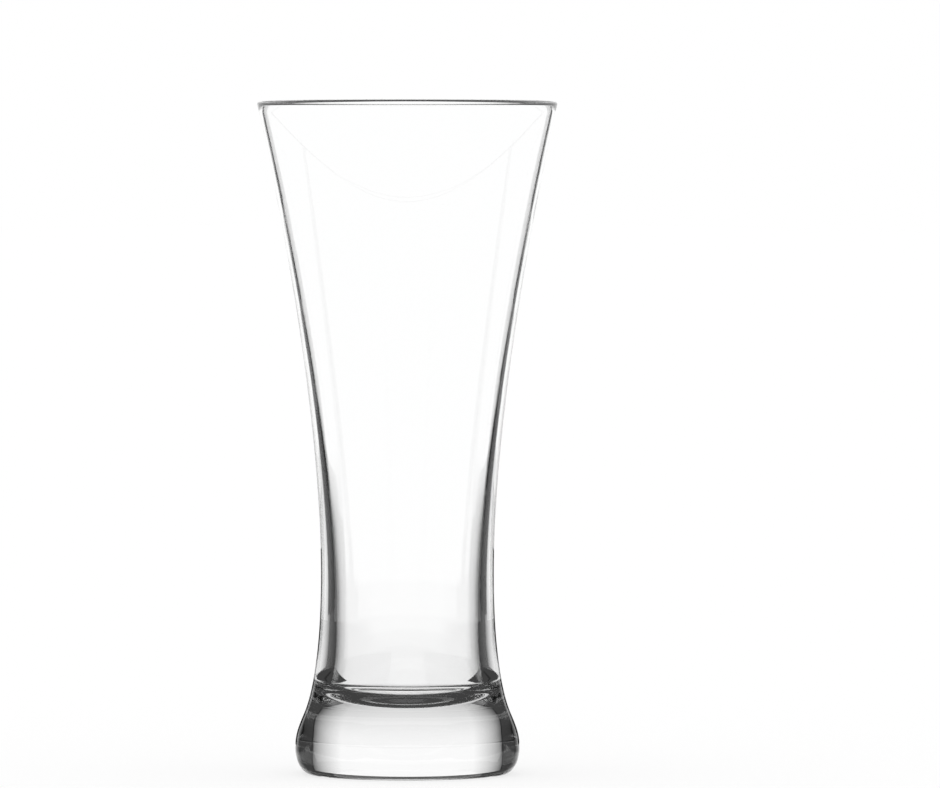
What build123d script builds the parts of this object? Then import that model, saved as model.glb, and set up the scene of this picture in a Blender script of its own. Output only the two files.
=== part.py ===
"""Pilsner glass: flared bowl with a fire-polished rim on a heavy solid base.

The axis of the glass is Z, and the table it stands on is Z = 0. Sizes are in millimetres.
The whole glass is turned from one half section. The section is parted into three pieces: the base below
the parting line that its mould leaves on the side, the bowl above it, and the rounded rim on the bowl.
"""

import math
import os

from build123d import *

# Outside of the glass
HEIGHT = 182.0
RIM_RADIUS = 40.6
RIM_LEAN = 12.7
WAIST_RADIUS = 23.4
WAIST_HEIGHT = 54.0
FOOT_RADIUS = 30.4
FOOT_HEIGHT = 7.2
SHOULDER_SETBACK = 2.4
SHOULDER_RISE = 9.1
SHOULDER_LEAN = 23.0

# Ring that stands on the table, and the hollow inside the ring
SEAT_SETBACK = 4.2
SEAT_WIDTH = 4.1
PUNT_DEPTH = 1.8

# Walls
RIM_WALL = 1.3
WAIST_WALL = 4.2
PARTING_HEIGHT = 9.6

# Inside of the bowl: the bore widens again below the waist, and ends in a dished floor
BORE_WAIST_HEIGHT = 47.0
BORE_FLARE = 1.44
BORE_FOOT_LEAN = 15.0
FLOOR_HEIGHT = 15.8
DISH_RISE = 9.2

# How far each curve follows its end directions
FLARE_PULL_WAIST = 37.0
FLARE_PULL_RIM = 40.0
BORE_PULL_WAIST = 33.0
BORE_PULL_RIM = 40.0
SHANK_PULL_WAIST = 16.0
SHANK_PULL_SHOULDER = 8.0
BULGE_PULL_SHOULDER = 3.5
BULGE_PULL_FOOT = 3.5
BORE_PULL_NECK = 12.0
BORE_PULL_FOOT = 5.0
DISH_PULL_WALL = 0.344
DISH_PULL_FLOOR = 0.74


def along(point, degrees, distance):
    """Move a point of the section along a direction that leans outwards from straight up."""
    angle = math.radians(degrees)
    return (point[0] + distance * math.sin(angle), point[1] + distance * math.cos(angle))


# Points of the half section, each as (radius, height)
rim_centre = (RIM_RADIUS - RIM_WALL / 2, HEIGHT - RIM_WALL / 2)
rim_outside = along(rim_centre, 90 + RIM_LEAN, RIM_WALL / 2)
rim_inside = along(rim_centre, 90 + RIM_LEAN, -RIM_WALL / 2)
rim_crest = along(rim_centre, RIM_LEAN, RIM_WALL / 2)
waist = (WAIST_RADIUS, WAIST_HEIGHT)
foot = (FOOT_RADIUS, FOOT_HEIGHT)
shoulder = (FOOT_RADIUS - SHOULDER_SETBACK, FOOT_HEIGHT + SHOULDER_RISE)
seat_outside = (FOOT_RADIUS - SEAT_SETBACK, 0)
seat_inside = (FOOT_RADIUS - SEAT_SETBACK - SEAT_WIDTH, 0)
punt_crown = (0, PUNT_DEPTH)
floor_centre = (0, FLOOR_HEIGHT)
bore_waist = (WAIST_RADIUS - WAIST_WALL, BORE_WAIST_HEIGHT)
bore_foot = (bore_waist[0] + BORE_FLARE, FLOOR_HEIGHT + DISH_RISE)

# Half section of the bowl and base together, from the underside round to the mouth and back down the bore
with BuildSketch(Plane.XZ) as glass_section:
    with BuildLine():
        Line(floor_centre, punt_crown)
        TangentArc(punt_crown, seat_inside, tangent=(1, 0))
        Line(seat_inside, seat_outside)
        EllipticalCenterArc((seat_outside[0], foot[1]), SEAT_SETBACK, FOOT_HEIGHT, 270, arc_size=90)
        Bezier(
            foot,
            along(foot, 0, BULGE_PULL_FOOT),
            along(shoulder, -SHOULDER_LEAN, -BULGE_PULL_SHOULDER),
            shoulder,
        )
        Bezier(
            shoulder,
            along(shoulder, -SHOULDER_LEAN, SHANK_PULL_SHOULDER),
            along(waist, 0, -SHANK_PULL_WAIST),
            waist,
        )
        Bezier(
            waist,
            along(waist, 0, FLARE_PULL_WAIST),
            along(rim_outside, RIM_LEAN, -FLARE_PULL_RIM),
            rim_outside,
        )
        Line(rim_outside, rim_inside)
        Bezier(
            rim_inside,
            along(rim_inside, RIM_LEAN, -BORE_PULL_RIM),
            along(bore_waist, 0, BORE_PULL_WAIST),
            bore_waist,
        )
        Bezier(
            bore_waist,
            along(bore_waist, 0, -BORE_PULL_NECK),
            along(bore_foot, -BORE_FOOT_LEAN, BORE_PULL_FOOT),
            bore_foot,
        )
        Bezier(
            bore_foot,
            along(bore_foot, -BORE_FOOT_LEAN, -DISH_RISE * DISH_PULL_WALL),
            along(floor_centre, 90, bore_foot[0] * DISH_PULL_FLOOR),
            floor_centre,
        )
    make_face()

# Half section of the rim: the round that the fire leaves on the edge of the wall
with BuildSketch(Plane.XZ) as rim_section:
    with BuildLine():
        Line(rim_inside, rim_outside)
        ThreePointArc(rim_outside, rim_crest, rim_inside)
    make_face()

parting_plane = Plane.XY.offset(PARTING_HEIGHT)

# Base: the solid foot of the glass, with its standing ring and hollow underside
with BuildPart() as base:
    revolve(glass_section.sketch, axis=Axis.Z)
    split(bisect_by=parting_plane, keep=Keep.BOTTOM)
base.part.label = "base"

# Bowl: the thick floor, the narrow waist and the wall that thins as it flares to the mouth
with BuildPart() as bowl:
    revolve(glass_section.sketch, axis=Axis.Z)
    split(bisect_by=parting_plane, keep=Keep.TOP)
bowl.part.label = "bowl"

# Rim: the rounded lip, seated on the top edge of the bowl's wall
with BuildPart() as rim:
    revolve(rim_section.sketch, axis=Axis.Z)
rim.part.label = "rim"

os.makedirs("parts", exist_ok=True)
for piece in (base, bowl, rim):
    export_step(piece.part, f"parts/{piece.part.label}.step")
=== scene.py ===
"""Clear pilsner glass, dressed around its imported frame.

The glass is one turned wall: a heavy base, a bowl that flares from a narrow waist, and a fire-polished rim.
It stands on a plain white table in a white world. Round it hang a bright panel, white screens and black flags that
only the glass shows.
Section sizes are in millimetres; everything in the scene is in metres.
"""

import logging
import math
from dataclasses import dataclass, field
from enum import Enum

import bpy
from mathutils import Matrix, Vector


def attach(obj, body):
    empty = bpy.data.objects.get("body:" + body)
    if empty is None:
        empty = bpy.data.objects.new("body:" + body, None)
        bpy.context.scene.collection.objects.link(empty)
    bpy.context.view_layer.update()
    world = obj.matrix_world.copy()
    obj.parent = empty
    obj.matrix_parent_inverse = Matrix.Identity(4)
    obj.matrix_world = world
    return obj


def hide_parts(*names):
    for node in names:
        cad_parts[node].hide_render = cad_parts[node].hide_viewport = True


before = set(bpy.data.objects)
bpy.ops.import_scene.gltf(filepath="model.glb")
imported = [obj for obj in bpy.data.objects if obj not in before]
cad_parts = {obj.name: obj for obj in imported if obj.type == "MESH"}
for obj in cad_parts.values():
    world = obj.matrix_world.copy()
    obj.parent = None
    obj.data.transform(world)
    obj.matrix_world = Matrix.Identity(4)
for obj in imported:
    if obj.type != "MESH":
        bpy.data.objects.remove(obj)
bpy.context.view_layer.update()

MM = 0.001
IMAGE_WIDTH = 940
WHOLE_TURN = 360.0
REFRACTION_BOUNCES = 32
REFLECTION_BOUNCES = 16

# Glossy Depth counts the reflections that light has had so far: none is below the first, one at most below the second.
UNREFLECTED = 0.5
REFLECTED_ONCE = 1.5

LOG = logging.getLogger("pilsner_glass")

Pair = tuple[float, float]


class Ray(Enum):
    """Kinds of light ray that the studio answers in different ways."""

    CAMERA = "Is Camera Ray"
    TRANSMISSION = "Is Transmission Ray"
    DIFFUSE = "Is Diffuse Ray"


class Ease(Enum):
    """Ways to go from one value to another."""

    STRAIGHT = "LINEAR"
    GENTLE = "SMOOTHSTEP"


def leaning(point: Pair, degrees: float, distance: float) -> Pair:
    """Move a section point along a direction that leans outwards from straight up.

    Args:
        point: Radius and height to start from.
        degrees: Lean of the direction, outwards from straight up.
        distance: How far to go; below zero goes backwards.

    Returns:
        Radius and height of the new point.
    """
    angle = math.radians(degrees)
    return (point[0] + distance * math.sin(angle), point[1] + distance * math.cos(angle))


def sweep(start: Pair, first: Pair, second: Pair, end: Pair, steps: int) -> list[Pair]:
    """Sample a cubic curve of the section.

    Args:
        start: Point that the curve leaves; it isn't repeated in the result.
        first: Control point that sets the direction at the start.
        second: Control point that sets the direction at the end.
        end: Last point of the curve.
        steps: Number of points to return.

    Returns:
        The points after the start, the end included.
    """
    points = []
    for step in range(1, steps + 1):
        t = step / steps
        weights = ((1 - t) ** 3, 3 * t * (1 - t) ** 2, 3 * t * t * (1 - t), t**3)
        corners = (start, first, second, end)
        radius = sum(w * c[0] for w, c in zip(weights, corners))
        height = sum(w * c[1] for w, c in zip(weights, corners))
        points.append((radius, height))
    return points


class NodeBench:
    """Adds nodes to one tree and wires them up."""

    def __init__(self, tree: bpy.types.NodeTree) -> None:
        """Keep the tree to work on."""
        self.tree = tree

    def add(self, kind: str, **settings: object) -> bpy.types.Node:
        """Add a node.

        Args:
            kind: Blender's name for the node type.
            **settings: Attributes to set on the node.

        Returns:
            The new node.
        """
        node = self.tree.nodes.new(kind)
        for name, value in settings.items():
            setattr(node, name, value)
        return node

    def join(self, source: object, target: bpy.types.NodeSocket) -> None:
        """Feed a socket from another socket, or set it to a plain value."""
        if isinstance(source, bpy.types.NodeSocket):
            self.tree.links.new(source, target)
        else:
            target.default_value = source

    def math(self, operation: str, *values: object) -> bpy.types.NodeSocket:
        """Work out a number from sockets and plain numbers.

        Args:
            operation: Blender's name for the sum.
            *values: Sockets or numbers, in the node's order.

        Returns:
            The socket that holds the result.
        """
        node = self.add("ShaderNodeMath", operation=operation)
        for value, target in zip(values, node.inputs):
            self.join(value, target)
        return node.outputs[0]

    def ramp(self, value: bpy.types.NodeSocket, start: float, end: float, ease: Ease) -> bpy.types.NodeSocket:
        """Turn a value that runs from start to end into one that runs from 0 to 1.

        Args:
            value: Socket to read.
            start: Where the result leaves 0; it may be above the end.
            end: Where the result reaches 1.
            ease: How the result goes from one to the other.

        Returns:
            The socket that holds the result.
        """
        node = self.add("ShaderNodeMapRange", interpolation_type=ease.value, clamp=True)
        for source, target in zip((value, start, end, 0.0, 1.0), node.inputs):
            self.join(source, target)
        return node.outputs[0]


def glowing(name: str) -> tuple[bpy.types.Material, NodeBench, bpy.types.Node]:
    """Start a material that only glows, for something that stands round the glass.

    Args:
        name: Name of the material.

    Returns:
        The material, a bench for its tree and its emission node, which is white and wired to the output.
    """
    made = bpy.data.materials.new(name)
    made.use_nodes = True
    made.cycles.emission_sampling = "NONE"
    made.node_tree.nodes.remove(made.node_tree.nodes["Principled BSDF"])
    bench = NodeBench(made.node_tree)
    light = bench.add("ShaderNodeEmission")
    light.inputs["Color"].default_value = (1, 1, 1, 1)
    bench.join(light.outputs[0], made.node_tree.nodes["Material Output"].inputs["Surface"])
    return made, bench, light


def thin_out(
    made: bpy.types.Material, bench: NodeBench, light: bpy.types.Node, solid: bpy.types.NodeSocket
) -> None:
    """Make a glowing material clear in places.

    Args:
        made: The material.
        bench: Bench of the material's tree.
        light: Its emission node.
        solid: Socket that is 1 where the glow stays and 0 where the material is clear.
    """
    clear = bench.add("ShaderNodeBsdfTransparent")
    mix = bench.add("ShaderNodeMixShader")
    for source, target in zip((solid, clear.outputs[0], light.outputs[0]), mix.inputs):
        bench.join(source, target)
    bench.join(mix.outputs[0], made.node_tree.nodes["Material Output"].inputs["Surface"])


def stage_place(bench: NodeBench, facing: float) -> tuple[bpy.types.NodeSocket, ...]:
    """Find where a point of the stage lies from the glass, as the camera looks.

    Args:
        bench: Bench of the material's tree.
        facing: Azimuth that the camera stands at, in degrees.

    Returns:
        Sockets for the distance to the right, the distance behind the glass and the height.
    """
    place = bench.add("ShaderNodeTexCoord")
    turn = bench.add("ShaderNodeVectorRotate", rotation_type="Z_AXIS")
    bench.join(place.outputs["Object"], turn.inputs["Vector"])
    turn.inputs["Angle"].default_value = -math.radians(facing)
    part = bench.add("ShaderNodeSeparateXYZ")
    bench.join(turn.outputs[0], part.inputs[0])
    return part.outputs["X"], part.outputs["Y"], part.outputs["Z"]


@dataclass(frozen=True)
class ClearGlass:
    """Finish of the whole glass: colourless and polished, with the marks of the mould.

    The wall has faint waves, the thick shank a fine grain, and the base the line where the halves of the mould met.
    Lengths are in metres.
    """

    name: str = "clear_glass"
    tint: tuple[float, float, float, float] = (0.998, 0.999, 0.999, 1.0)
    ior: float = 1.52
    roughness: float = 0.0
    wave_scale: float = 90.0
    wave_depth: float = 0.000012
    grain_scale: float = 2200.0
    grain_depth: float = 0.0000012
    grain_top: float = 0.085
    grain_full: float = 0.065
    mould_height: float = 0.0096
    mould_half_width: float = 0.0003
    mould_depth: float = 0.000014

    def material(self) -> bpy.types.Material:
        """Build the material.

        Returns:
            A glass material with a low bump.
        """
        made = bpy.data.materials.new(self.name)
        made.use_nodes = True
        bench = NodeBench(made.node_tree)
        surface = made.node_tree.nodes["Principled BSDF"]
        surface.inputs["Base Color"].default_value = self.tint
        surface.inputs["Metallic"].default_value = 0.0
        surface.inputs["Roughness"].default_value = self.roughness
        surface.inputs["IOR"].default_value = self.ior
        surface.inputs["Transmission Weight"].default_value = 1.0
        place = bench.add("ShaderNodeTexCoord")
        waves = bench.add("ShaderNodeTexNoise")
        bench.join(place.outputs["Object"], waves.inputs["Vector"])
        waves.inputs["Scale"].default_value = self.wave_scale
        waves.inputs["Detail"].default_value = 1.0
        grain = bench.add("ShaderNodeTexNoise")
        bench.join(place.outputs["Object"], grain.inputs["Vector"])
        grain.inputs["Scale"].default_value = self.grain_scale
        part = bench.add("ShaderNodeSeparateXYZ")
        bench.join(place.outputs["Object"], part.inputs[0])
        level = part.outputs["Z"]
        low = bench.ramp(level, self.grain_top, self.grain_full, Ease.GENTLE)
        off_line = bench.math("ABSOLUTE", bench.math("SUBTRACT", level, self.mould_height))
        line = bench.ramp(off_line, self.mould_half_width, 0.0, Ease.GENTLE)
        height = bench.math("MULTIPLY", waves.outputs["Fac"], self.wave_depth)
        fine = bench.math("MULTIPLY", grain.outputs["Fac"], bench.math("MULTIPLY", low, self.grain_depth))
        height = bench.math("ADD", height, fine)
        height = bench.math("MULTIPLY_ADD", line, self.mould_depth, height)
        bump = bench.add("ShaderNodeBump")
        bump.inputs["Strength"].default_value = 1.0
        bump.inputs["Distance"].default_value = 1.0
        bench.join(height, bump.inputs["Height"])
        bench.join(bump.outputs["Normal"], surface.inputs["Normal"])
        return made


@dataclass(frozen=True)
class WhiteTable:
    """Finish of the table top: white to the eye, with a soft shadow."""

    name: str = "white_table"
    colour: tuple[float, float, float, float] = (0.95, 0.95, 0.95, 1.0)
    glow: float = 0.72

    def material(self) -> bpy.types.Material:
        """Build the material.

        Returns:
            A matt white that shows as the white background, less the object's shadow.
        """
        made = bpy.data.materials.new(self.name)
        made.use_nodes = True
        made.node_tree.nodes.clear()
        bench = NodeBench(made.node_tree)
        matt = bench.add("ShaderNodeBsdfDiffuse")
        matt.inputs["Color"].default_value = self.colour
        white = bench.add("ShaderNodeEmission")
        white.inputs["Strength"].default_value = 1.0
        path = bench.add("ShaderNodeLightPath")
        share = bench.math("MULTIPLY", path.outputs[Ray.CAMERA.value], self.glow)
        mix = bench.add("ShaderNodeMixShader")
        bench.join(share, mix.inputs[0])
        bench.join(matt.outputs[0], mix.inputs[1])
        bench.join(white.outputs[0], mix.inputs[2])
        out = bench.add("ShaderNodeOutputMaterial")
        bench.join(mix.outputs[0], out.inputs["Surface"])
        return made


@dataclass(frozen=True)
class PanelGlow:
    """Painted light of the bright panel behind the glass, which only the glass shows: white, duller to its sides and
    foot, black at its edge.

    Lengths are in metres, measured across the panel and up from the table.
    """

    name: str = "panel_glow"
    half_width: float = 0.127
    fade_start: float = 0.43
    fade_power: float = 1.0
    lip: float = 0.12
    lip_blur: float = 0.012
    foot_start: float = 0.004
    foot_end: float = -0.07
    foot_level: float = 0.5
    border: float = 0.015

    def material(self, facing: float) -> bpy.types.Material:
        """Build the material.

        Args:
            facing: Azimuth that the camera stands at, in degrees; the panel is square to it.

        Returns:
            A glow that follows the place on the panel.
        """
        made, bench, light = glowing(self.name)
        aside, _, height = stage_place(bench, facing)
        across = bench.math("DIVIDE", bench.math("ABSOLUTE", aside), self.half_width)
        fading = bench.math("POWER", bench.ramp(across, self.fade_start, 1.0, Ease.STRAIGHT), self.fade_power)
        sides = bench.math("MULTIPLY_ADD", fading, self.lip - 1, 1.0)
        sinking = bench.ramp(height, self.foot_start, self.foot_end, Ease.STRAIGHT)
        foot = bench.math("MULTIPLY_ADD", sinking, self.foot_level - 1, 1.0)
        glow = bench.math("MULTIPLY", sides, foot)
        within = bench.ramp(across, 1 + self.lip_blur, 1 - self.lip_blur, Ease.STRAIGHT)
        change = bench.math("MULTIPLY", bench.math("SUBTRACT", glow, self.border), within)
        bench.join(bench.math("ADD", change, self.border), light.inputs["Strength"])
        return made


@dataclass(frozen=True)
class WhiteScreen:
    """Painted light and shade of the screen all round the glass, which only the glass shows: white, and near black
    low down behind the glass.

    Heights are in metres, angles in degrees from straight behind the glass. Two dark strips of painted shade on
    either side show only to light that wasn't reflected in the glass. Each reflection dims the lower part on the
    camera's side, as painted shade, where a band stays white as painted light.
    """

    name: str = "white_screen"
    hem_low: float = 0.030
    hem_high: float = 0.046
    dark_to: float = 95.0
    white_from: float = 130.0
    band_low: float = 0.014
    band_high: float = 0.052
    band_from: float = 80.0
    band_blur: float = 0.002
    first_strip: float = 112.0
    second_strip: float = 157.0
    strip_core: float = 4.0
    strip_reach: float = 9.0
    strip_depth: float = 0.9
    most_bounces: float = 2.0
    # Level that the painted shade of the screen falls to.
    painted_shade: float = 0.05

    def material(self, facing: float) -> bpy.types.Material:
        """Build the material.

        Args:
            facing: Azimuth that the camera stands at, in degrees.

        Returns:
            A glow that follows the place on the screen.
        """
        made, bench, light = glowing(self.name)
        aside, ahead, height = stage_place(bench, facing)
        angle = bench.math("ABSOLUTE", bench.math("ARCTAN2", aside, ahead))
        path = bench.add("ShaderNodeLightPath")
        bounces = path.outputs["Glossy Depth"]
        straight = bench.math("LESS_THAN", bounces, UNREFLECTED)
        above = bench.ramp(height, self.hem_low, self.hem_high, Ease.GENTLE)
        rear = bench.ramp(angle, math.radians(self.dark_to), math.radians(self.white_from), Ease.GENTLE)
        rear = bench.math("MULTIPLY", rear, bench.ramp(bounces, self.most_bounces, 0.0, Ease.STRAIGHT))
        lower = bench.ramp(height, self.band_low - self.band_blur, self.band_low + self.band_blur, Ease.STRAIGHT)
        upper = bench.ramp(height, self.band_high + self.band_blur, self.band_high - self.band_blur, Ease.STRAIGHT)
        band = bench.math("MULTIPLY", bench.math("MULTIPLY", lower, upper), bench.math("SUBTRACT", 1.0, straight))
        band = bench.math("MULTIPLY", band, bench.math("GREATER_THAN", angle, math.radians(self.band_from)))
        white = bench.math("MAXIMUM", bench.math("MAXIMUM", above, rear), band)
        offsets = [
            bench.math("ABSOLUTE", bench.math("SUBTRACT", angle, math.radians(middle)))
            for middle in (self.first_strip, self.second_strip)
        ]
        nearest = bench.math("MINIMUM", *offsets)
        strip = bench.ramp(nearest, math.radians(self.strip_reach), math.radians(self.strip_core), Ease.GENTLE)
        strip = bench.math("MULTIPLY", strip, bench.math("MULTIPLY", straight, self.strip_depth))
        glow = bench.math("MULTIPLY", white, bench.math("SUBTRACT", 1.0, strip))
        bench.join(bench.math("MULTIPLY_ADD", glow, 1 - self.painted_shade, self.painted_shade), light.inputs["Strength"])
        return made


@dataclass(frozen=True)
class PlainCard:
    """Even glow, from black at 0 to white at 1, of a card that only reflections show: a painted reflection."""

    name: str
    level: float

    def material(self) -> bpy.types.Material:
        """Build the material.

        Returns:
            An even glow.
        """
        made, _, light = glowing(self.name)
        light.inputs["Strength"].default_value = self.level
        return made


@dataclass(frozen=True)
class PaintedShadeShelf:
    """Painted shade from two shelves round the glass, sheets that only the glass shows: near black from below, and
    nothing at all from above.

    On the camera's side, light that came out of the glass after no more than one reflection passes it. What the
    outside of the glass mirrors of it there pales towards its inner edge, so that the edge of the painted shade draws
    no line. Lengths are in metres, angles in degrees from straight behind the glass.
    """

    name: str = "painted_shade_shelf"
    level: float = 0.05
    rear_from: float = 158.0
    pale_to: float = 0.026
    pale_from: float = 0.08
    pale_side: float = 125.0
    pale_front: float = 155.0

    def material(self, facing: float) -> bpy.types.Material:
        """Build the material.

        Args:
            facing: Azimuth that the camera stands at, in degrees.

        Returns:
            Black on the back of a face and clear on its front.
        """
        made, bench, light = glowing(self.name)
        face = bench.add("ShaderNodeNewGeometry")
        aside, ahead, _ = stage_place(bench, facing)
        angle = bench.math("ABSOLUTE", bench.math("ARCTAN2", aside, ahead))
        path = bench.add("ShaderNodeLightPath")
        few = bench.math("LESS_THAN", path.outputs["Glossy Depth"], REFLECTED_ONCE)
        inside = path.outputs[Ray.TRANSMISSION.value]
        squares = [bench.math("MULTIPLY", side, side) for side in (aside, ahead)]
        span = bench.math("SQRT", bench.math("ADD", *squares))
        pale = bench.ramp(span, self.pale_from, self.pale_to, Ease.GENTLE)
        front = bench.ramp(angle, math.radians(self.pale_side), math.radians(self.pale_front), Ease.GENTLE)
        pale = bench.math("MULTIPLY", pale, bench.math("MULTIPLY", front, bench.math("SUBTRACT", 1.0, inside)))
        # Painted shade: near black, paling near the glass on the camera's side so its reflection shows no edge.
        bench.join(bench.math("MULTIPLY_ADD", pale, 1.0 - self.level, self.level), light.inputs["Strength"])
        passes = bench.math("MULTIPLY", few, inside)
        passes = bench.math("MULTIPLY", passes, bench.math("GREATER_THAN", angle, math.radians(self.rear_from)))
        stops = bench.math("SUBTRACT", 1.0, passes)
        thin_out(made, bench, light, bench.math("MULTIPLY", stops, face.outputs["Backfacing"]))
        return made


@dataclass(frozen=True)
class BlackFlag:
    """Painted shade of the flags beside the glass: black from the front, thinning out to nothing at its inner edge."""

    name: str = "black_flag"
    level: float = 0.02
    solid_from: float = 0.15

    def material(self) -> bpy.types.Material:
        """Build the material.

        Returns:
            A black that clears towards the start of the sheet's own U, and is clear from behind.
        """
        made, bench, light = glowing(self.name)
        light.inputs["Strength"].default_value = self.level
        place = bench.add("ShaderNodeTexCoord")
        part = bench.add("ShaderNodeSeparateXYZ")
        bench.join(place.outputs["UV"], part.inputs[0])
        face = bench.add("ShaderNodeNewGeometry")
        front = bench.math("SUBTRACT", 1.0, face.outputs["Backfacing"])
        solid = bench.ramp(part.outputs["X"], 0.0, self.solid_from, Ease.GENTLE)
        thin_out(made, bench, light, bench.math("MULTIPLY", solid, front))
        return made


@dataclass(frozen=True)
class UnderGlow:
    """Painted light of the discs below the glass: white to light that wasn't reflected, dark to light that was."""

    name: str = "under_glow"
    level: float = 1.0
    bounced: float = 0.05

    def material(self) -> bpy.types.Material:
        """Build the material.

        Returns:
            A white that only unreflected light shows.
        """
        made, bench, light = glowing(self.name)
        path = bench.add("ShaderNodeLightPath")
        straight = bench.math("LESS_THAN", path.outputs["Glossy Depth"], UNREFLECTED)
        level = bench.math("MULTIPLY_ADD", straight, self.level - self.bounced, self.bounced)
        bench.join(level, light.inputs["Strength"])
        return made


@dataclass
class Base:
    """Heavy foot of the glass, from the hollow underside up to the shoulder."""

    foot_radius: float = 30.4
    foot_height: float = 7.2
    shoulder_setback: float = 2.4
    shoulder_rise: float = 9.1
    shoulder_lean: float = 23.0
    seat_setback: float = 4.2
    seat_width: float = 4.1
    punt_depth: float = 1.8
    bulge_pull: float = 3.5
    seat_shares: tuple[float, ...] = (0.15, 0.5, 0.85, 1.0)
    round_steps: int = 24
    bulge_steps: int = 20

    @property
    def foot(self) -> Pair:
        """Widest point of the foot."""
        return (self.foot_radius, self.foot_height)

    @property
    def shoulder(self) -> Pair:
        """Where the foot turns into the waist."""
        return (self.foot_radius - self.shoulder_setback, self.foot_height + self.shoulder_rise)

    def section(self) -> list[Pair]:
        """Half section of the base, from the middle of the underside to the shoulder.

        Returns:
            Radius and height of each point.
        """
        outside = self.foot_radius - self.seat_setback
        inside = outside - self.seat_width
        points = []
        for step in range(self.round_steps + 1):
            share = step / self.round_steps
            points.append((inside * share, self.punt_depth * (1 - share * share)))
        points += [(inside + self.seat_width * share, 0.0) for share in self.seat_shares]
        for step in range(1, self.round_steps + 1):
            angle = math.radians(-90 + 90 * step / self.round_steps)
            reach = self.seat_setback * math.cos(angle)
            points.append((outside + reach, self.foot_height * (1 + math.sin(angle))))
        points += sweep(
            self.foot,
            leaning(self.foot, 0, self.bulge_pull),
            leaning(self.shoulder, -self.shoulder_lean, -self.bulge_pull),
            self.shoulder,
            self.bulge_steps,
        )
        return points


@dataclass
class Rim:
    """Rounded lip that the fire leaves on the top edge of the wall."""

    height: float = 182.0
    radius: float = 40.6
    wall: float = 1.3
    lean: float = 12.7
    steps: int = 16

    @property
    def centre(self) -> Pair:
        """Middle of the round."""
        return (self.radius - self.wall / 2, self.height - self.wall / 2)

    @property
    def outside(self) -> Pair:
        """Where the round meets the outside of the wall."""
        return leaning(self.centre, 90 + self.lean, self.wall / 2)

    @property
    def inside(self) -> Pair:
        """Where the round meets the inside of the wall."""
        return leaning(self.centre, 90 + self.lean, -self.wall / 2)

    def section(self) -> list[Pair]:
        """Half section of the lip, over the crest from the outside to the inside.

        Returns:
            Radius and height of each point after the outside one.
        """
        points = []
        for step in range(1, self.steps + 1):
            angle = 90 + self.lean - 180 * step / self.steps
            points.append(leaning(self.centre, angle, self.wall / 2))
        return points


@dataclass
class Bowl:
    """Wall of the glass between base and rim, and the bore down to the dished floor."""

    waist_radius: float = 23.4
    waist_height: float = 54.0
    waist_wall: float = 4.2
    bore_waist_height: float = 47.0
    bore_flare: float = 1.44
    bore_foot_lean: float = 15.0
    floor_height: float = 15.8
    dish_rise: float = 9.2
    dish_pull_wall: float = 0.344
    dish_pull_floor: float = 0.74
    shank_pull_shoulder: float = 8.0
    shank_pull_waist: float = 16.0
    flare_pull_waist: float = 37.0
    flare_pull_rim: float = 40.0
    bore_pull_rim: float = 40.0
    bore_pull_waist: float = 33.0
    bore_pull_neck: float = 12.0
    bore_pull_foot: float = 5.0
    shank_steps: int = 44
    flare_steps: int = 60
    bore_foot_steps: int = 20
    dish_steps: int = 40

    def outside(self, base: Base, rim: Rim) -> list[Pair]:
        """Outside of the wall, from the base's shoulder to the rim.

        Args:
            base: Foot that the wall grows from.
            rim: Lip that the wall ends in.

        Returns:
            Radius and height of each point after the shoulder.
        """
        waist = (self.waist_radius, self.waist_height)
        shank = sweep(
            base.shoulder,
            leaning(base.shoulder, -base.shoulder_lean, self.shank_pull_shoulder),
            leaning(waist, 0, -self.shank_pull_waist),
            waist,
            self.shank_steps,
        )
        flare = sweep(
            waist,
            leaning(waist, 0, self.flare_pull_waist),
            leaning(rim.outside, rim.lean, -self.flare_pull_rim),
            rim.outside,
            self.flare_steps,
        )
        return shank + flare

    def inside(self, rim: Rim) -> list[Pair]:
        """Inside of the wall, from the rim down the bore to the middle of the floor.

        Args:
            rim: Lip that the wall starts from.

        Returns:
            Radius and height of each point after the lip.
        """
        neck = (self.waist_radius - self.waist_wall, self.bore_waist_height)
        corner = (neck[0] + self.bore_flare, self.floor_height + self.dish_rise)
        middle = (0.0, self.floor_height)
        bore = sweep(
            rim.inside,
            leaning(rim.inside, rim.lean, -self.bore_pull_rim),
            leaning(neck, 0, self.bore_pull_waist),
            neck,
            self.flare_steps,
        )
        lower = sweep(
            neck,
            leaning(neck, 0, -self.bore_pull_neck),
            leaning(corner, -self.bore_foot_lean, self.bore_pull_foot),
            corner,
            self.bore_foot_steps,
        )
        dish = sweep(
            corner,
            leaning(corner, -self.bore_foot_lean, -self.dish_rise * self.dish_pull_wall),
            leaning(middle, 90, corner[0] * self.dish_pull_floor),
            middle,
            self.dish_steps,
        )
        return bore + lower + dish


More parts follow.
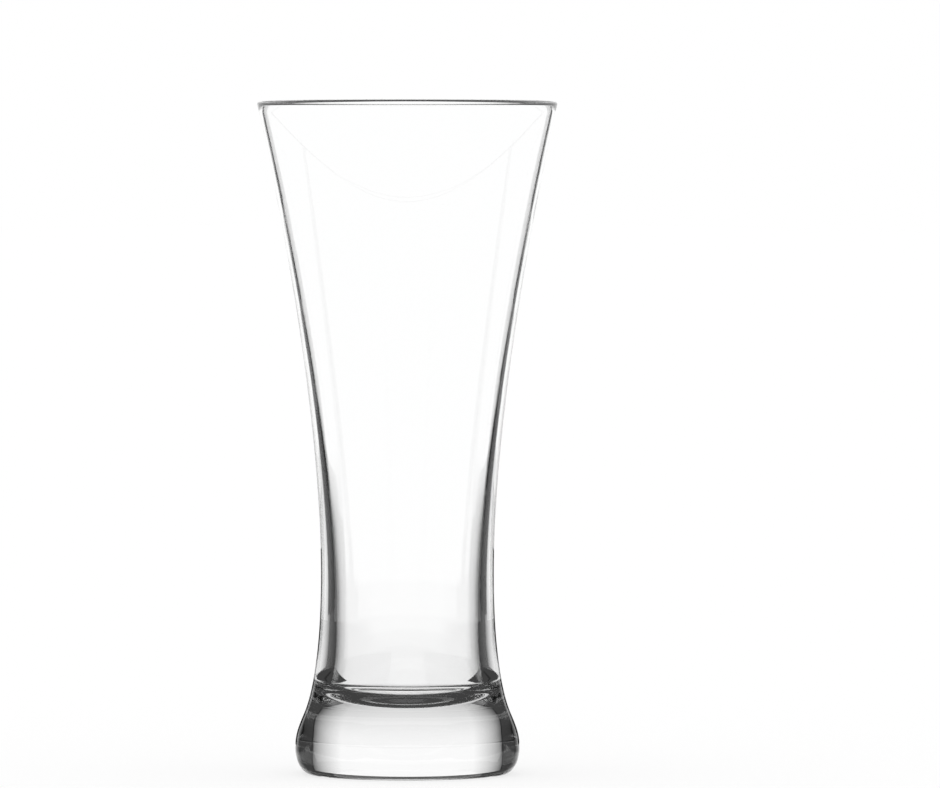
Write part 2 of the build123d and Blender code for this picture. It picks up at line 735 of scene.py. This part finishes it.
@dataclass
class PilsnerGlass:
    """The whole glass: base, bowl and rim turned as one wall, because light passes through them unbroken."""

    base: Base = field(default_factory=Base)
    bowl: Bowl = field(default_factory=Bowl)
    rim: Rim = field(default_factory=Rim)
    segments: int = 192
    merge_distance: float = 1e-6

    def section(self) -> list[Pair]:
        """Closed half section, from the middle of the underside round to the middle of the floor.

        Returns:
            Radius and height of each point.
        """
        outside = self.base.section() + self.bowl.outside(self.base, self.rim)
        return outside + self.rim.section() + self.bowl.inside(self.rim)

    def section_mesh(self) -> bpy.types.Mesh:
        """Half section as a chain of points on the XZ plane.

        Returns:
            A mesh of points and edges, in metres.
        """
        points = [(radius * MM, 0.0, height * MM) for radius, height in self.section()]
        mesh = bpy.data.meshes.new("glass_section")
        mesh.from_pydata(points, [(n, n + 1) for n in range(len(points) - 1)], [])
        return mesh

    def turning_tree(self) -> bpy.types.NodeTree:
        """Geometry nodes that turn a half section about Z.

        Returns:
            A tree with inputs for the section, its number of points, the segments and the material.
        """
        tree = bpy.data.node_groups.new("turn_about_axis", "GeometryNodeTree")
        tree.interface.new_socket("Section", in_out="INPUT", socket_type="NodeSocketGeometry")
        tree.interface.new_socket("Section Points", in_out="INPUT", socket_type="NodeSocketInt")
        tree.interface.new_socket("Segments", in_out="INPUT", socket_type="NodeSocketInt")
        tree.interface.new_socket("Merge Distance", in_out="INPUT", socket_type="NodeSocketFloat")
        tree.interface.new_socket("Finish", in_out="INPUT", socket_type="NodeSocketMaterial")
        tree.interface.new_socket("Glass", in_out="OUTPUT", socket_type="NodeSocketGeometry")
        bench = NodeBench(tree)
        given = bench.add("NodeGroupInput")
        count = given.outputs["Section Points"]
        segments = given.outputs["Segments"]

        sheet = bench.add("GeometryNodeMeshGrid")
        bench.join(bench.math("ADD", segments, 1.0), sheet.inputs["Vertices X"])
        bench.join(count, sheet.inputs["Vertices Y"])
        index = bench.add("GeometryNodeInputIndex").outputs[0]
        turn = bench.math("FLOOR", bench.math("DIVIDE", bench.math("ADD", index, 0.5), count))
        row = bench.math("SUBTRACT", index, bench.math("MULTIPLY", turn, count))
        angle = bench.math("MULTIPLY", bench.math("DIVIDE", turn, segments), math.tau)

        place = bench.add("GeometryNodeInputPosition")
        read = bench.add("GeometryNodeSampleIndex", data_type="FLOAT_VECTOR", domain="POINT")
        bench.join(given.outputs["Section"], read.inputs["Geometry"])
        bench.join(place.outputs[0], read.inputs["Value"])
        bench.join(row, read.inputs["Index"])
        part = bench.add("ShaderNodeSeparateXYZ")
        bench.join(read.outputs["Value"], part.inputs[0])
        whole = bench.add("ShaderNodeCombineXYZ")
        bench.join(bench.math("MULTIPLY", part.outputs["X"], bench.math("COSINE", angle)), whole.inputs["X"])
        bench.join(bench.math("MULTIPLY", part.outputs["X"], bench.math("SINE", angle)), whole.inputs["Y"])
        bench.join(part.outputs["Z"], whole.inputs["Z"])

        bend = bench.add("GeometryNodeSetPosition")
        bench.join(sheet.outputs["Mesh"], bend.inputs["Geometry"])
        bench.join(whole.outputs[0], bend.inputs["Position"])
        close = bench.add("GeometryNodeMergeByDistance")
        bench.join(bend.outputs[0], close.inputs["Geometry"])
        bench.join(given.outputs["Merge Distance"], close.inputs["Distance"])
        smooth = bench.add("GeometryNodeSetShadeSmooth")
        bench.join(close.outputs[0], smooth.inputs["Geometry"])
        real = bench.add("GeometryNodeRealizeInstances")
        bench.join(smooth.outputs[0], real.inputs["Geometry"])
        finish = bench.add("GeometryNodeSetMaterial")
        bench.join(real.outputs[0], finish.inputs["Geometry"])
        bench.join(given.outputs["Finish"], finish.inputs["Material"])
        out = bench.add("NodeGroupOutput")
        bench.join(finish.outputs[0], out.inputs["Glass"])
        return tree

    def build(self, material: bpy.types.Material) -> bpy.types.Object:
        """Turn the section and keep the result as a plain mesh.

        Args:
            material: Finish of the glass.

        Returns:
            The glass, at the origin.
        """
        mesh = self.section_mesh()
        tree = self.turning_tree()
        glass = bpy.data.objects.new("glass", mesh)
        bpy.context.scene.collection.objects.link(glass)
        turning = glass.modifiers.new("turning", "NODES")
        turning.node_group = tree
        values = {
            "Section Points": len(mesh.vertices),
            "Segments": self.segments,
            "Merge Distance": self.merge_distance,
            "Finish": material,
        }
        for socket in tree.interface.items_tree:
            if socket.in_out == "INPUT" and socket.name in values:
                turning[socket.identifier] = values[socket.name]
        graph = bpy.context.evaluated_depsgraph_get()
        turned = bpy.data.meshes.new_from_object(glass.evaluated_get(graph))
        glass.modifiers.remove(turning)
        glass.data = turned
        turned.name = "glass"
        LOG.info("glass: %d faces", len(turned.polygons))
        return glass

    def dress(self, glass: bpy.types.Object) -> None:
        """Tie the glass to the frame and hide the solids that it stands for."""
        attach(glass, "root")
        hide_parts("base", "bowl", "rim")


@dataclass
class Studio:
    """What stands round the glass: a white table and world, a bright panel, screens, shelves and flags.

    Only the glass shows the sheets, and it doesn't show the table: the camera sees plain white. Lengths are in metres,
    angles in degrees from straight behind the glass.
    """

    facing: float = 225.0
    table_half_side: float = 4.0
    panel_distance: float = 0.15
    panel_half_width: float = 0.142
    panel_low: float = -0.065
    panel_high: float = 0.062
    shelf_inside: float = 0.0256
    shelf_height: float = 0.042
    shelf_slope: float = 3.4
    lip_shelf_inside: float = 0.0408
    lip_shelf_height: float = 0.18125
    lip_shelf_dip: float = 0.0005
    lip_shelf_slope: float = 1.0
    screen_radius: float = 0.2
    screen_low: float = -0.2
    screen_high: float = 0.5
    screen_sides: int = 96
    card_start: float = 75.0
    card_low: float = -0.06
    card_high: float = 0.031
    card_share: float = 0.99
    under_radius: float = 0.026
    under_depth: float = 0.0008
    well_depth: float = 0.13
    flag_distance: float = 0.045
    flag_inside: float = 0.021
    flag_outside: float = 0.060
    flag_approach: float = 0.004
    flag_narrowing: float = 0.03
    flag_narrow_from: float = 0.09
    flag_drop: float = 0.006
    flag_low: float = 0.042
    flag_high: float = 0.194
    stripe_share: float = 0.46
    outline_inside: float = 0.985
    outline_outside: float = 0.9995
    outline_high: float = 0.07
    mirror_distance: float = 0.13
    mirror_drop: float = 0.016
    soft: float = 1.06

    def place(self, aside: float, ahead: float, height: float) -> tuple[float, float, float]:
        """Find a point by how it lies from the glass, as the camera looks.

        Args:
            aside: Distance to the right.
            ahead: Distance behind the glass.
            height: Height above the table.

        Returns:
            The point in the scene's own axes.
        """
        turn = math.radians(self.facing)
        return (
            aside * math.cos(turn) - ahead * math.sin(turn),
            aside * math.sin(turn) + ahead * math.cos(turn),
            height,
        )

    def build(self, wall: list[Pair], bore: list[Pair], finishes: dict[str, bpy.types.Material]) -> None:
        """Put up the table, the panel, the screens, the shelves, the flags and the world.

        Args:
            wall: Outside of the glass's wall, as radius and height in millimetres, from the base up.
            bore: Inside of the wall, from the rim down.
            finishes: Material of the table, and painted light and shade of the panel, screens, shelf and flags, by
                name.
        """
        side = self.table_half_side
        corners = [(-side, -side, 0.0), (side, -side, 0.0), (side, side, 0.0), (-side, side, 0.0)]
        table = self.stand("table", corners, [(0, 1, 2, 3)], finishes["table"])
        table.visible_transmission = False
        table.visible_glossy = False

        reach = self.panel_half_width
        low, high = self.panel_low, self.panel_high
        outline = ((-reach, low), (reach, low), (reach, high), (-reach, high))
        corners = [self.place(aside, self.panel_distance, height) for aside, height in outline]
        self.hide_from_camera(self.stand("back_panel", corners, [(0, 1, 2, 3)], finishes["panel"]))

        radius = self.screen_radius
        fall = math.tan(math.radians(self.shelf_slope)) * (radius - self.shelf_inside)
        shelf = [(self.shelf_inside, self.shelf_height), (radius, self.shelf_height - fall)]
        fall = math.tan(math.radians(self.lip_shelf_slope)) * (radius - self.lip_shelf_inside)
        lip_shelf = [(radius, self.lip_shelf_height - fall), (self.lip_shelf_inside, self.lip_shelf_height)]
        screen_line = [(radius, self.screen_low), (radius, self.screen_high)]
        card = [(self.card_share * radius, height) for height in (self.card_low, self.card_high)]
        under = [(0.0, -self.under_depth), (self.under_radius, -self.under_depth)]
        well = [(0.0, -self.well_depth), (radius, -self.well_depth)]
        # Painted shade: the shelf and the lip shelf are dark sheets that only the glass shows.
        screens = (
            ("shelf", shelf, 0.0, "painted_shade"),
            ("white_screen", screen_line, 0.0, "screen"),
            ("rear_card", card, self.card_start, "card"),
            ("lip_shelf", lip_shelf, 0.0, "painted_shade_lip_shelf"),
            ("under_light", under, 0.0, "under"),
            ("well_light", well, 0.0, "under"),
        )
        for name, line, start, finish in screens:
            points, faces = self.turned(line, start, self.lip_shelf_dip if name == "lip_shelf" else 0.0)
            screen = self.stand(name, points, faces, finishes[finish])
            self.hide_from_camera(screen)
            screen.visible_transmission = name != "rear_card"
            screen.visible_glossy = name not in ("under_light", "well_light", "lip_shelf")
        for name, turn in (("left_flag", -1), ("right_flag", 1)):
            self.hang_flag(name, turn, wall, finishes["flag"])
            self.hang_mirror_flags(name, turn, wall, bore, finishes["black"])
        self.surround()
        LOG.info("studio: panel %.0f mm wide", 2 * reach / MM)

    def turned(
        self, rings: list[Pair], start: float, dip: float
    ) -> tuple[list[tuple[float, float, float]], list[tuple[int, ...]]]:
        """Turn a line about the glass's axis.

        Args:
            rings: Radius and height of each point of the line.
            start: Angle that the sheet starts at; it ends as far short of a whole turn.
            dip: How far the sheet sinks towards the two sides of the glass.

        Returns:
            The points and the faces of the sheet.
        """
        count = self.screen_sides
        points = []
        for radius, height in rings:
            for step in range(count + 1):
                angle = math.radians(start + (WHOLE_TURN - 2 * start) * step / count)
                sunk = height - dip * math.sin(angle) ** 2
                points.append(self.place(radius * math.sin(angle), radius * math.cos(angle), sunk))
        faces = []
        for ring in range(len(rings) - 1):
            for step in range(count):
                here = ring * (count + 1) + step
                above = here + count + 1
                faces.append((here, here + 1, above + 1, above))
        return points, faces

    def hang_flag(self, name: str, turn: int, wall: list[Pair], finish: bpy.types.Material) -> None:
        """Hang a flag beside the glass along the line of its wall: painted shade that the glass shows as dark stripes.

        Args:
            name: Name of the flag.
            turn: 1 for the right side and -1 for the left.
            wall: Outside of the glass's wall, as radius and height in millimetres, from the base up.
            finish: Material of the flag, painted shade.
        """
        line = [(radius * MM, height * MM - self.flag_drop) for radius, height in wall if height * MM >= self.flag_low]
        line.append((line[-1][0], self.flag_high))
        points = []
        for radius, height in line:
            rise = max(0.0, height - self.flag_narrow_from) / (self.flag_high - self.flag_narrow_from)
            near = self.flag_inside - self.flag_approach * rise
            for gap in (near, self.flag_outside - self.flag_narrowing * rise):
                points.append(self.place(turn * (radius + gap), self.flag_distance, height))
        faces = [(2 * n, 2 * n + 1, 2 * n + 3, 2 * n + 2)[::turn] for n in range(len(line) - 1)]
        flag = self.stand(name, points, faces, finish)
        across = flag.data.uv_layers.new(name="across")
        for loop in flag.data.loops:
            across.data[loop.index].uv = (loop.vertex_index % 2, 0.5)
        self.hide_from_camera(flag)
        flag.visible_glossy = False

    def hang_mirror_flags(
        self, name: str, turn: int, wall: list[Pair], bore: list[Pair], finish: bpy.types.Material
    ) -> None:
        """Hang a flag where the outside of the wall mirrors it onto the dark line in the wall, and one for the outline.

        Both are painted shade: black sheets placed so that the glass reflects them as those dark lines.

        Args:
            name: Name of the flags.
            turn: 1 for the right side and -1 for the left.
            wall: Outside of the glass's wall, as radius and height in millimetres, from the base up.
            bore: Inside of the wall, from the rim down.
            finish: Material of the flags, painted shade.
        """
        stripes, outlines = [], []
        for radius, height in wall:
            inner = min(bore, key=lambda point: abs(point[1] - height))[0]
            if height * MM >= self.flag_low:
                stripes.append((radius, height, inner, inner + self.stripe_share * (radius - inner)))
            if height * MM <= self.outline_high:
                outlines.append((radius, height, self.outline_inside * radius, self.outline_outside * radius))
        for part, rows in (("stripe", stripes), ("outline", outlines)):
            points = []
            for radius, height, *offsets in rows:
                for offset in offsets:
                    glance = math.asin(offset / radius)
                    heading = math.pi - 2 * glance
                    aside = offset * MM + self.mirror_distance * math.sin(heading)
                    ahead = -radius * MM * math.cos(glance) + self.mirror_distance * math.cos(heading)
                    points.append(self.place(turn * aside, ahead, height * MM - self.mirror_drop))
            faces = [(2 * n, 2 * n + 1, 2 * n + 3, 2 * n + 2) for n in range(len(rows) - 1)]
            flag = self.stand(f"{name}_{part}", points, faces, finish)
            self.hide_from_camera(flag)
            flag.visible_transmission = False

    def surround(self) -> bpy.types.World:
        """Make the world: white to the camera and to the glass, and soft light on the table.

        Returns:
            The world.
        """
        world = bpy.data.worlds.new("studio")
        world.use_nodes = True
        world.node_tree.nodes.clear()
        bench = NodeBench(world.node_tree)
        path = bench.add("ShaderNodeLightPath")
        soft = bench.math("MULTIPLY_ADD", path.outputs[Ray.DIFFUSE.value], self.soft - 1, 1.0)
        back = bench.add("ShaderNodeBackground")
        back.inputs["Color"].default_value = (1, 1, 1, 1)
        bench.join(soft, back.inputs["Strength"])
        out = bench.add("ShaderNodeOutputWorld")
        bench.join(back.outputs[0], out.inputs["Surface"])
        bpy.context.scene.world = world
        return world

    def hide_from_camera(self, sheet: bpy.types.Object) -> None:
        """Let only reflections and light that comes through the glass show a sheet."""
        for kind in ("camera", "diffuse", "shadow", "volume_scatter"):
            setattr(sheet, f"visible_{kind}", False)

    def stand(
        self,
        name: str,
        points: list[tuple[float, float, float]],
        faces: list[tuple[int, ...]],
        material: bpy.types.Material,
    ) -> bpy.types.Object:
        """Make one sheet of the stage.

        Args:
            name: Name of the sheet.
            points: Its corners.
            faces: Its faces, as numbers of corners.
            material: Its finish.

        Returns:
            The sheet.
        """
        mesh = bpy.data.meshes.new(name)
        mesh.from_pydata(points, [], faces)
        mesh.materials.append(material)
        sheet = bpy.data.objects.new(name, mesh)
        bpy.context.scene.collection.objects.link(sheet)
        return sheet


@dataclass
class Viewpoint:
    """Camera where the photograph was taken from; lengths are in metres."""

    facing: float = 225.0
    distance: float = 3.345
    height: float = 0.2386
    aim_height: float = 0.1029
    focal_pixels: float = 12371.0
    aside_pixels: float = 62.65
    sensor: float = 36.0
    clip_end: float = 100.0

    def build(self) -> bpy.types.Object:
        """Make the camera and give it to the scene.

        Returns:
            The camera.
        """
        lens = bpy.data.cameras.new("camera")
        lens.sensor_width = self.sensor
        lens.lens = self.focal_pixels / IMAGE_WIDTH * self.sensor
        lens.clip_end = self.clip_end
        camera = bpy.data.objects.new("camera", lens)
        turn = math.radians(self.facing)
        ahead = Vector((-math.sin(turn), math.cos(turn), 0))
        camera.location = -ahead * self.distance + Vector((0, 0, self.height))
        sight = (Vector((0, 0, self.aim_height)) - camera.location).normalized()
        right = sight.cross(Vector((0, 0, 1))).normalized()
        sight = sight * self.focal_pixels + right * self.aside_pixels
        camera.rotation_euler = sight.to_track_quat("-Z", "Y").to_euler()
        bpy.context.scene.collection.objects.link(camera)
        bpy.context.scene.camera = camera
        LOG.info("camera: %.1f mm lens", lens.lens)
        return camera


def set_light_paths() -> None:
    """Plain view of the colours, and enough bounces for light to leave the thick glass."""
    scene = bpy.context.scene
    scene.view_settings.view_transform = "Standard"
    scene.cycles.max_bounces = REFRACTION_BOUNCES
    scene.cycles.transmission_bounces = REFRACTION_BOUNCES
    scene.cycles.glossy_bounces = REFLECTION_BOUNCES


def main() -> None:
    """Build the studio and the glass."""
    logging.basicConfig(level=logging.INFO, format="%(name)s: %(message)s")
    set_light_paths()
    Viewpoint().build()
    pilsner = PilsnerGlass()
    studio = Studio()
    finishes = {
        "table": WhiteTable().material(),
        # Painted light of the back panel, which only the glass shows.
        "panel": PanelGlow().material(studio.facing),
        # Painted light and shade of the screen, which only the glass shows.
        "screen": WhiteScreen().material(studio.facing),
        # Painted light: the white card, which only the glass's reflections show.
        "card": PlainCard("white_card", 1.0).material(),
        # Painted shade: the black glow of the mirror flags, seen only in the glass's reflections.
        "black": PlainCard("black_card", 0.02).material(),
        # Painted shade of the two shelves, which only the glass shows.
        "painted_shade": PaintedShadeShelf().material(studio.facing),
        "painted_shade_lip_shelf": PaintedShadeShelf("painted_shade_lip_shelf", rear_from=181.0).material(studio.facing),
        "flag": BlackFlag().material(),
        # Painted light of the discs below the glass, which only light through the glass shows.
        "under": UnderGlow().material(),
    }
    studio.build(pilsner.bowl.outside(pilsner.base, pilsner.rim), pilsner.bowl.inside(pilsner.rim), finishes)
    glass = pilsner.build(ClearGlass().material())
    pilsner.dress(glass)


if __name__ == "__main__":
    main()
